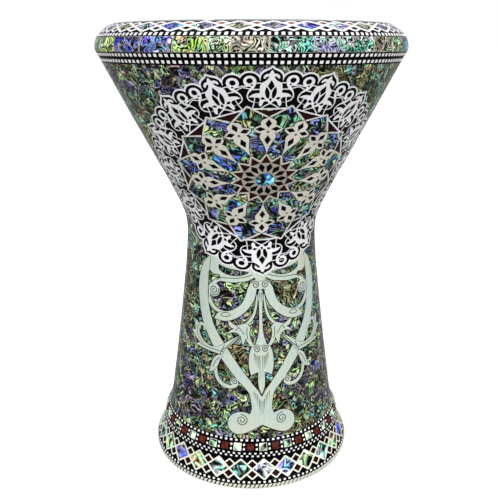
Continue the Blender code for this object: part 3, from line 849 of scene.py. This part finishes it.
S_ARM = shape([
    (0, 202.5), (0, 202.5), (4.5, 203.6), (8.3, 202.6), (10.3, 199), (12, 195.5), (13.5, 190), (18, 181),
    (24.5, 175.6), (30.5, 172.7), (37, 171.6), (42, 169.3), (46.3, 163.4), (46.3, 163.4), (39, 162.6),
    (31.5, 163.2), (24, 166.2), (16.5, 171.4), (9.5, 179.2), (5.8, 186), (4, 193), (4, 196), (0, 194.5),
    (0, 194.5),
])
LEAF_CLUSTER = shape([
    (31.2, 163.5), (31.2, 163.5), (31, 159.5), (28.5, 156.7), (25.5, 156), (25.5, 156), (30, 153.2),
    (32.8, 149.6), (32.8, 149.6), (28, 152), (23.5, 152.2), (19.5, 149.4), (19.5, 149.4), (18.6, 144.5),
    (17.6, 140), (17.6, 140), (15.5, 144), (14.5, 147.5), (14.5, 147.5), (13, 143.5), (9, 139),
    (6.6, 140), (6.6, 140), (9.6, 145), (11, 152), (10, 158), (10, 158), (14.5, 161.8), (20, 160),
    (25, 159.6), (28, 161.5), (28, 161.5),
], 3)
CROSS_LEAF = shape([
    (19.3, 150.4), (19.3, 150.4), (24.5, 144), (30.5, 138.6), (35, 134), (38, 129), (38, 129),
    (47, 129.3), (57, 130.3), (70.5, 131.6), (70.5, 131.6), (66, 134.3), (64.8, 135.2), (64.8, 135.2),
    (70.5, 138.4), (77.2, 144.2), (77.2, 144.2), (71, 145.8), (71, 145.8), (71.8, 151), (71.4, 156.4),
    (71.4, 156.4), (67.5, 154.5), (65.6, 150.5), (65.5, 146), (62, 139.8), (56, 136), (47.5, 134.6),
    (40, 137.5), (31, 143.5), (31, 143.5),
], 3)
LEAF_HOOK = shape([
    (66.8, 151), (66.8, 151), (65, 154.6), (61, 155.6), (57.5, 153), (57, 150), (58.7, 148.4),
    (60.2, 150), (59.3, 151.6), (61.4, 152.9), (63.6, 151.4), (64.2, 147), (64.2, 147),
], 3)
LOW_LEAF = shape([
    (41, 128.5), (41, 128.5), (47.3, 124), (50.8, 116.5), (53.3, 108.6), (53.3, 108.6), (48.5, 110.5),
    (46.5, 113), (43.5, 116.5), (41, 122.5), (38, 127), (38, 127),
], 3)
VASE = shape([
    (0, 139), (0, 139), (4, 141), (8.5, 139), (11, 132.8), (12, 125), (11.8, 117.5), (10, 110), (10, 110),
    (6.5, 112.2), (3, 113.2), (3, 113.2), (3.3, 105), (2.6, 97.5), (0, 91), (0, 91),
])
STEM = shape([
    (0, 196), (0, 196), (2.6, 190), (1.7, 182), (1.4, 170), (1.7, 157.5), (2.8, 149), (5.4, 141),
    (5.4, 141), (0, 136), (0, 136),
])
LOW_HOOK = ([(43, 126), (45.6, 118), (45.7, 110), (43.5, 103.5), (38.5, 99), (32, 97.4),
             (26.5, 98.4), (22.8, 101.4)], [4.4, 3.6, 3.6, 3.7, 3.7, 3.5, 3, 2])
THIN_STEM = ([(3.2, 190), (4.2, 180), (6.6, 170.5), (10.6, 164), (15.8, 160), (21, 158)],
             [1.4, 1.8, 2.4, 2.6, 2.6, 1.8])
SCROLL_DISCS = [(46, 191.5, 6.6), (4.5, 199.6, 4.6), (26.8, 103, 4), (4, 136.4, 4.4)]
# Engraved spirals: centre, outer radius, turns, and where they start
SPIRALS = [(45.8, 191, 5.4, 1.9, 2.6), (4.6, 199.4, 3.9, 1.6, 0.3), (26.6, 103, 3.3, 1.5, 0),
           (4.2, 136.2, 3.7, 1.6, 0.4), (20, 64.3, 5.9, 1.9, 1.4)]


def spiral(x, y, radius, turns, start):
    count = int(turns * 16)
    points = []
    for i in range(count + 1):
        reach = radius * (1 - 0.82 * i / count)
        angle = start + TURN * turns * i / count
        points.append((x + reach * math.cos(angle), y + reach * math.sin(angle)))
    return points


def scroll_engraving():
    """Lines cut in the pearl: spirals, leaf veins and the hatching under the volutes."""
    lines = []
    for x, y, radius, turns, start in SPIRALS:
        lines += ribbon(spiral(x, y, radius, turns, start), 0.85, smooth=False)
    veins = [
        curve([(29, 168.3), (32, 171), (36.5, 170.2), (38.6, 167.6), (34.5, 166.8), (29, 168.3)], 4),
        curve([(21, 149), (28, 142.6), (34, 136.6), (38.5, 133)], 4),
        curve([(36, 131.5), (46, 132.3), (57, 133), (66, 134.6)], 4),
        curve([(41, 125.5), (45.5, 121), (49, 114)], 4),
        curve([(10.6, 201.4), (12.6, 196), (14, 190.6)], 3),
        curve([(26, 161), (20, 156.5), (16, 150.5)], 3),
        curve([(13, 158), (13.5, 152), (12.5, 146)], 3),
        curve([(21.5, 157), (24.5, 153.8)], 2),
        curve([(66, 152.5), (68.6, 147), (67, 140), (60, 135.4)], 3),
        curve([(35.8, 138.8), (38.5, 133), (41, 127.8)], 3),
        curve([(0.3, 89), (4, 95.6), (10, 103.2)], 3),
        curve([(7.5, 209), (13, 207.2), (20.5, 205.5), (29, 204.8), (37.5, 204.2), (43, 201.3)], 4),
        curve([(48.8, 224), (50.5, 214), (50.3, 208.5)], 3),
    ]
    for line in veins:
        lines += ribbon(line, 0.7, smooth=False)
    hatching = [(0.8, 192, 182), (2.2, 193, 186), (3.4, 193.5, 187.5),
                (1.4, 130, 106), (2.9, 129, 117), (4.2, 130, 118), (5.4, 131, 121),
                (6.6, 132.5, 125), (2.5, 86, 75), (4.2, 90, 80), (5.8, 92, 84),
                (7.4, 94, 87), (1, 84, 70)]
    for x, top, bottom in hatching:
        lines.append([(x - 0.36, top), (x - 0.1, bottom), (x + 0.1, bottom), (x + 0.36, top)])
    return lines


def on_stem(x, z, lift):
    return BODY.place(x / body_radius(z), BODY.at_height(z), lift)


def scroll():
    fills = [SIDE_BAND, TOP_PLATE, NECK, UPPER_ARM, VOLUTE_TAIL]
    fills += [disc(x, y, r, 20) for x, y, r in SCROLL_DISCS]
    fills += ribbon(*LOW_HOOK) + ribbon(*THIN_STEM)
    raised = [LOW_LEAF, CROSS_LEAF, LEAF_HOOK, STEM, LEAF_CLUSTER, S_ARM, VASE]
    half = []
    for outline in fills + raised:
        half += tinted(rim(outline, 1.3), "black")
    half += tinted(fills, "cream")
    for outline in raised:
        # A cut line shows where one piece of pearl lies against another, but not on the axis
        half += tinted(rim(outline, 0.7, axis=0.3), "engraving") + [(outline, "cream")]
    for x, y, r in SCROLL_DISCS:
        half += tinted(ribbon(spiral(x, y, r + 0.2, 0.95, 2.0), 0.5, smooth=False), "engraving")
        half.append((disc(x, y, r, 20), "cream"))
    half += tinted(scroll_engraving(), "engraving")
    half += tinted(rim(LENS, 1.1, 0.0), "black") + [(LENS, "none")]
    shapes = [([(-90, 45), (90, 45), (90, 226), (-90, 226)], "none")]
    for outline, colour in half:
        shapes += [(outline, colour), (mirrored(outline), colour)]
    levels = {"cream": 0.24, "black": 0.10, "engraving": 0.12}
    inlay("scroll_inlay", shapes, 3.0, on_stem, levels, "shell", "scroll_pearl", "scroll_panel")


# ---- Bands of inlay round the body, the foot and the ring ----


def lattice(name, profile, start, end, periods, slot, body, node, line, width, bigs, small, edge_line=0.0):
    """A trellis of pearl lines: big abalone diamonds, pairs of small ones between them.

    line, bigs and small name the looks, bigs in the order that they follow each other, and small
    for the lower and the upper diamond of a pair."""
    middle_r = float(profile.at((start + end) / 2)[0])
    round_length = TURN * middle_r
    pitch = round_length / periods
    height = end - start - edge_line
    base = start + height / 2
    left = -pitch / 2
    shapes = [([(left, start), (left + round_length, start), (left + round_length, end), (left, end)],
               "black")]
    rise = 0.47 * height
    line_shapes = []
    for k in range(-1, periods + 1):
        x = k * pitch
        shapes.append((diamond(x, base, pitch / 2, rise), bigs[k % len(bigs)]))
        for up, colour in zip((-1, 1), small):
            spot = diamond(x + pitch / 2, base + up * rise * 0.46, pitch / 4.6, rise * 0.45)
            shapes.append((spot, colour))
        for side in (-1, 1):
            for up in (-1, 1):
                tip = (x, base + up * rise)
                corner = (x + side * pitch / 2, base)
                line_shapes.append(ribbon([corner, tip], width, smooth=False)[0])
                low = (x + side * pitch * 0.26, base + up * rise * 0.46)
                small_tip = (x + side * pitch / 2, base + up * rise * 0.94)
                line_shapes.append(ribbon([low, small_tip], width * 0.9, smooth=False)[0])
    shapes += [(piece, line) for piece in line_shapes]
    if edge_line:
        shapes.append(([(left - 1, end - edge_line), (left + round_length + 1, end - edge_line),
                        (left + round_length + 1, end), (left - 1, end)], line))

    def place(x, s, lift):
        return profile.place(x / middle_r, s, lift)

    levels = dict.fromkeys([line, "black", *small, *bigs], 0.08) | {"black": 0.0, line: 0.25}
    inlay(name, shapes, 3.0, place, levels, body, slot, node, low=-INLAY)


def foot_bands(rng):
    at = BODY.at_height
    build = Build()
    low, high = at(0.3), at(5.4)
    skin(build, BODY, low, high, lift=-0.5, slot=1)
    beads = 150
    for k in range(beads):
        bead = box_outline(BODY, k * TURN / beads, (low + high) / 2 - 0.2, 3.0, high - low - 1.2, lean=1.9)
        tile(build, BODY, bead, -0.8, 0.05, bevel=0.35)
    looks = ["ivory", "black"]
    add_piece("foot_rope", build.mesh("foot_rope"), looks, "shell", "rope_inlay", "foot_rope_edge")

    checker_strip("foot_lower_row", BODY, at(5.7), at(8.4), "shell", "foot_lower_checker", 128, 2.3, 1.9,
                  rng)
    lattice("foot_lattice", BODY, at(8.7) - 0.1, at(28.4) + 0.1, 27, "foot_lattice", "shell",
            "foot_lattice_band", "ivory", 1.55, FOOT_DIAMONDS, ("red", "red"), edge_line=0.6)
    checker_strip("foot_double_row", BODY, at(28.7), at(34.6), "shell", "foot_double_checker", 112, 2.2, 1.7,
                  rng, rows=((0.27, 0.0), (0.73, 0.5)))

    build = Build()
    low, high = at(34.9), at(43.3)
    middle = (low + high) / 2
    skin(build, BODY, low - 0.15, high + 0.15)
    cells = 46
    r = float(BODY.at(middle)[0])

    def square(spot, half_width, half_height, lift, slot):
        reach = half_width / r
        plate(build, BODY, lambda _: (spot - reach, spot + reach), middle - half_height,
              middle + half_height, lift, slot, columns=4, rows=4)

    for k in range(cells):
        theta = k * TURN / cells
        if k % 2:
            square(theta, 3.5 + rng.uniform(-0.2, 0.2), 3.3, 0.15, 2)
        else:
            square(theta, 3.8, 3.7, 0.1, 1)
            square(theta, 3.4, 3.3, 0.2, 3)
        for side in (-1, 1):
            small = box_outline(BODY, theta + TURN / cells / 2, middle + side * 2.1, 1.9, 2.0)
            tile(build, BODY, small, ROOT, 0.25, slot=1)
    looks = ["black", "check", "brown", "mint_diamond"]
    add_piece("foot_squares", build.mesh("foot_squares"), looks, "shell", "square_inlay", "foot_square_band")

    checker_strip("foot_upper_row", BODY, at(43.6), at(46.2), "shell", "foot_upper_checker", 108, 2.3, 1.9,
                  rng)


def body_skin(rng):
    at = BODY.at_height
    build = Build()
    skin(build, BODY, at(46.5), at(399.0), sides=320)
    mesh = build.mesh("body_mosaic")
    add_piece("body_mosaic", mesh, ["body"], "shell", "dark_abalone", "body_abalone_veneer")
    checker_strip("seam_row_lower", BODY, at(399.3), at(403.7), "shell", "shell_seam_checker", 168, 2.7, 2.5,
                  rng, ends=(0.15, 0.0))


def ring_bands(rng):
    marks = RING_MARKS
    checker_strip("seam_row_upper", RING, marks[0] + 0.05, marks[1] - 0.15, "ring", "ring_seam_checker", 168,
                  2.8, 2.4, rng, ends=(0.0, 0.1))

    build = Build()
    low, high = marks[1] + 0.1, marks[3] - 0.1
    skin(build, RING, low, high)
    plates = 32
    edges = [(k + rng.uniform(-0.22, 0.22)) * TURN / plates for k in range(plates)]
    edges.append(edges[0] + TURN)
    leans = [rng.uniform(-2.4, 2.4) / RING_R for _ in range(plates)]
    gaps = [rng.uniform(0.2, 0.7) / RING_R for _ in range(plates)]
    looks = ["joint", *HUES]
    for k in range(plates):
        after = (k + 1) % plates

        def sides(up):
            return (edges[k] + gaps[k] + leans[k] * (up - 0.5),
                    edges[k + 1] - gaps[after] + leans[after] * (up - 0.5))

        colour = PLATE_ORDER[(k + 5) % len(PLATE_ORDER)]
        plate(build, RING, sides, low + 0.25, high - 0.25, 0.12, looks.index(colour))
    mesh = build.mesh("ring_abalone")
    add_piece("ring_abalone", mesh, looks, "ring", "bright_abalone", "ring_abalone_band")

    low, high = marks[3] + 0.05, marks[4] - 0.05
    checker_strip("shoulder_row", RING, low, high, "ring", "ring_shoulder_checker", 168, 2.7,
                  high - low - 1.3, rng, ends=(0.0, 0.0), look="white", lean=0.5)
    lattice("ring_lattice", RING, marks[4] + 0.05, marks[6] - 0.05, 32, "ring_lattice", "ring",
            "ring_lattice_band", "white", 1.8, RING_DIAMONDS, ("black", "rust"))


# ---- Castings, head and screws ----


def add_turned(bm, outline, sides, centre=(0.0, 0.0), closed=True):
    """Adds a surface turned round a centre, from (radius, height) points.

    A radius may be a function of the angle. A surface that isn't closed gets a cap at each end."""
    loops = []
    for radius, z in outline:
        loop = []
        for angle in np.arange(sides) * TURN / sides:
            r = radius(angle) if callable(radius) else radius
            spot = (centre[0] + r * math.cos(angle), centre[1] + r * math.sin(angle), z)
            loop.append(bm.verts.new([v * MM for v in spot]))
        loops.append(loop)
    for a, b in zip(loops, loops[1:] + loops[:1] if closed else loops[1:]):
        for i in range(sides):
            j = (i + 1) % sides
            bm.faces.new((a[i], a[j], b[j], b[i]))
    if not closed:
        bm.faces.new(loops[0][::-1])
        bm.faces.new(loops[-1])


def finished(bm, name):
    """The mesh of a bmesh, its faces turned outward."""
    bmesh.ops.recalc_face_normals(bm, faces=bm.faces)
    mesh = bpy.data.meshes.new(name)
    bm.to_mesh(mesh)
    bm.free()
    return mesh


def turned_form(name, outline, sides):
    bm = bmesh.new()
    add_turned(bm, outline, sides)
    return finished(bm, name)


def add_solid(name, mesh, look, body, slot, *replaced):
    """Adds a mesh as a piece, shaded smooth but for its corners."""
    mesh.polygons.foreach_set("use_smooth", [True] * len(mesh.polygons))
    mesh.set_sharp_from_angle(angle=math.radians(32))
    add_piece(name, mesh, [look], body, slot, *replaced)


def bored(mesh, radius, low, high, sides=32, operation="DIFFERENCE"):
    """The mesh after an exact boolean with a peg at each bolt."""
    bm = bmesh.new()
    for x, y in BOLT_CENTRES:
        place = Matrix.Translation((x * MM, y * MM, (low + high) / 2 * MM))
        bmesh.ops.create_cone(bm, cap_ends=True, segments=sides, radius1=radius * MM, radius2=radius * MM,
                              depth=(high - low) * MM, matrix=place)
    target = bpy.data.objects.new("target", mesh)
    tool = bpy.data.objects.new("tool", finished(bm, "pegs"))
    for thing in (target, tool):
        bpy.context.scene.collection.objects.link(thing)
    modifier = target.modifiers.new("cut", "BOOLEAN")
    modifier.object, modifier.operation, modifier.solver = tool, operation, "EXACT"
    depsgraph = bpy.context.evaluated_depsgraph_get()
    made = bpy.data.meshes.new_from_object(target.evaluated_get(depsgraph))
    for thing in (target, tool):
        bpy.data.objects.remove(thing)
    return made


def inset(profile, s, depth):
    """Points as deep under a profile, as an outline."""
    r, z, nr, nz = profile.at(s)
    return list(zip(r - depth * nr, z - depth * nz))


def inset_body(depth, heights):
    return inset(BODY, BODY.at_height(np.array(heights, dtype=float)), depth)


def shell_and_ring():
    wall_out, wall_in = 1.7, 6.6
    outer = inset_body(wall_out, [2, 5, 8, *range(12, 396, 6), 399])
    inner = inset_body(wall_in, [12, *range(18, 390, 6)])
    top_r = inset_body(wall_out, [402])[0][0] + 0.6
    under_r = inset_body(wall_in, [396])[0][0]
    outline = [(102.2, 0.0), *outer, (top_r, 403.9), (108.5, 403.9), (108.5, 425.2), (107.9, 426.5),
               (106.7, 427.0), (104.5, 427.0), (104.0, 426.0), (104.0, 397.0), (under_r, 397.0),
               *inner[::-1], (93.0, 0.0)]
    mesh = turned_form("shell_metal", outline, 160)
    mesh = bored(mesh, 6.5, 387.0, 400.0, operation="UNION")
    mesh = bored(mesh, 3.4, 390.5, 410.0, 20)
    add_solid("shell_metal", mesh, "cast", "shell", "cast_aluminium", "shell_casting")

    side = inset(RING, np.linspace(0.0, RING.length, 30), 1.25)
    side[0] = (side[0][0], 404.3)
    crest = [(128.0, 431.0), (124.5, 432.0), (120.0, 432.0), (116.5, 431.2), (113.2, 429.0), (111.5, 426.8)]
    outline = [*side, (127.6, 430.9), *curve(crest, 4), (111.2, 425.4), (111.6, 424.5), (115.0, 424.5),
               (115.0, 404.3)]
    mesh = turned_form("ring_metal", outline, 240)
    mesh = bored(mesh, 6.2, 423.5, 436.0)
    mesh = bored(mesh, 3.4, 400.0, 430.0, 20)
    add_solid("ring_metal", mesh, "turned", "ring", "cast_aluminium", "tension_ring")


def head():
    look = Look("film_look", 0.32, Transmission_Weight=0.0, Coat_Weight=0.25, Coat_Roughness=0.2)
    cloud = look.noise(look.position, 18.0, detail=3.0)
    shade = look.mix(look.ramp(cloud, [(0.35, 0.0), (0.7, 1.0)]), (0.62, 0.61, 0.58), (0.53, 0.52, 0.49))
    look.to("Base Color", shade)
    look.bump(look.noise(look.position, 1400.0, detail=2.0), 0.02, 0.35)
    LOOKS["film"] = look.material
    over, under, centre_r = 427.7, 427.3, 0.0005
    outline = [(centre_r, over), (40.0, over), (80.0, over), (104.0, over), (107.4, 427.65), (108.6, 427.1),
               (109.15, 426.2), (109.2, 425.0), (109.2, 419.5), (108.8, 419.5), (108.8, 425.0),
               (108.7, 426.0), (108.3, 426.8), (107.2, 427.25), (104.0, under), (80.0, under), (40.0, under),
               (centre_r, under)]
    mesh = turned_form("head_film", outline, 192)
    add_solid("head_film", mesh, "film", "shell", "head_film", "drumhead_film")
    outline = [(109.5, 424.2), (113.4, 424.2), (113.9, 424.0), (114.2, 423.4), (114.2, 419.4),
               (113.9, 418.8), (113.4, 418.5), (109.5, 418.5)]
    mesh = turned_form("head_ring", outline, 192)
    add_solid("head_ring", mesh, "turned", "shell", "hoop_aluminium", "head_hoop")


def screws():
    section = [(3.4, 423.9), (5.5, 423.9), (5.8, 424.2), (5.8, 424.8), (5.5, 425.1), (3.4, 425.1)]
    bm = bmesh.new()
    for centre in BOLT_CENTRES:
        add_turned(bm, section, 32, centre)
    names = [f"washer_{number}" for number in range(1, BOLT_COUNT + 1)]
    add_solid("washers", finished(bm, "washers"), "steel", "ring", "bolt_steel", *names)

    seat, top = 425.3, 431.3
    outline = [(2.3, 392.0), (3.0, 392.7)]
    for thread in range(11):
        z = 393.2 + thread
        outline += [(2.62, z), (3.0, z + 0.4), (3.0, z + 0.6)]
    outline += [(3.0, 404.2), (3.0, seat), (4.7, seat), (5.0, seat + 0.3), (5.0, top - 0.6), (4.4, top),
                (3.4, top)]

    def socket(angle):
        """The hexagon's radius at an angle."""
        return 2.5 / math.cos(angle % (TURN / 6) - TURN / 12)

    outline += [(socket, top), (socket, top - 3.0)]
    for number, centre in enumerate(BOLT_CENTRES, 1):
        bm = bmesh.new()
        add_turned(bm, outline, 36, centre, closed=False)
        mesh = finished(bm, f"bolt_{number}_screw")
        add_solid(f"screw_{number}", mesh, "steel", f"bolt_{number}", "bolt_steel", f"tuning_bolt_{number}")


# ---- Floor, light and camera ----


def stage():
    mesh = bpy.data.meshes.new("floor")
    r, below = 9.0, -0.0005
    corners = [(-r, -r, below), (r, -r, below), (r, r, below), (-r, r, below)]
    mesh.from_pydata(corners, [], [(0, 1, 2, 3)])
    look = Look("floor_look", 0.9, Emission_Color=(1.0, 1.0, 1.0, 1.0), Emission_Strength=0.3)
    haze = look.noise(look.position, 0.6, detail=1.0)
    look.to("Base Color", look.mix(haze, (0.93, 0.93, 0.93), (0.95, 0.95, 0.95)))
    # The floor looks white, and throws less light up under the bowl than it shows
    dull = look.node("ShaderNodeBsdfDiffuse", {"Color": (0.42, 0.42, 0.42, 1.0)})
    ray = look.node("ShaderNodeLightPath").outputs["Is Camera Ray"]
    chosen = look.node("ShaderNodeMixShader", {0: ray, 1: dull.outputs[0], 2: look.shader.outputs[0]})
    output = next(n for n in look.tree.nodes if n.type == "OUTPUT_MATERIAL")
    look.tree.links.new(chosen.outputs[0], output.inputs[0])
    mesh.materials.append(look.material)
    floor = bpy.data.objects.new("floor", mesh)
    bpy.context.scene.collection.objects.link(floor)

    world = bpy.data.worlds.new("studio")
    bpy.context.scene.world = world
    world.use_nodes = True
    nodes, links = world.node_tree.nodes, world.node_tree.links
    shown = nodes["Background"]
    shown.inputs[0].default_value = (1.0, 1.0, 1.0, 1.0)
    path = nodes.new("ShaderNodeLightPath")
    strength = nodes.new("ShaderNodeMix")
    lighting, showing = 0.45, 1.0
    strength.inputs[2].default_value = lighting
    strength.inputs[3].default_value = showing
    links.new(path.outputs["Is Camera Ray"], strength.inputs[0])
    links.new(strength.outputs[0], shown.inputs[1])

    bowl = Vector((0.0, 0.0, 0.25))

    def lamp(name, spot, size, power):
        data = bpy.data.lights.new(name, "AREA")
        data.shape = "RECTANGLE"
        data.size, data.size_y = size
        data.energy = power
        light = bpy.data.objects.new(name, data)
        light.location = spot
        light.rotation_euler = (bowl - light.location).to_track_quat("-Z", "Y").to_euler()
        bpy.context.scene.collection.objects.link(light)

    lamp("key", (-0.7, -1.3, 1.4), (0.8, 0.8), 16.5)
    lamp("fill", (0.8, -1.4, 0.8), (0.8, 0.8), 9.5)
    lamp("rear", (0.3, 1.6, 0.25), (0.8, 0.3), 7.5)
    data = bpy.data.lights.new("overhead", "SUN")
    data.energy, data.angle = 1.3, 1.2
    bpy.context.scene.collection.objects.link(bpy.data.objects.new("overhead", data))


def camera():
    data = bpy.data.cameras.new("photo_view")
    data.sensor_width = 36.0
    data.lens = 46.08
    view = bpy.data.objects.new("photo_view", data)
    azimuth, distance, height = math.radians(-7.35), 0.6294, 0.4139
    pan, down = math.radians(0.116), math.radians(17.774)
    view.location = (distance * math.sin(azimuth), -distance * math.cos(azimuth), height)
    view.rotation_euler = (TURN / 4 - down, 0.0, azimuth + pan)
    bpy.context.scene.collection.objects.link(view)
    bpy.context.scene.camera = view


def main():
    bpy.context.scene.view_settings.view_transform = "Standard"
    camera()
    stage()
    rng = np.random.default_rng(7)
    body_skin(rng)
    foot_bands(rng)
    ring_bands(rng)
    rosette()
    scroll()
    shell_and_ring()
    head()
    screws()


main()
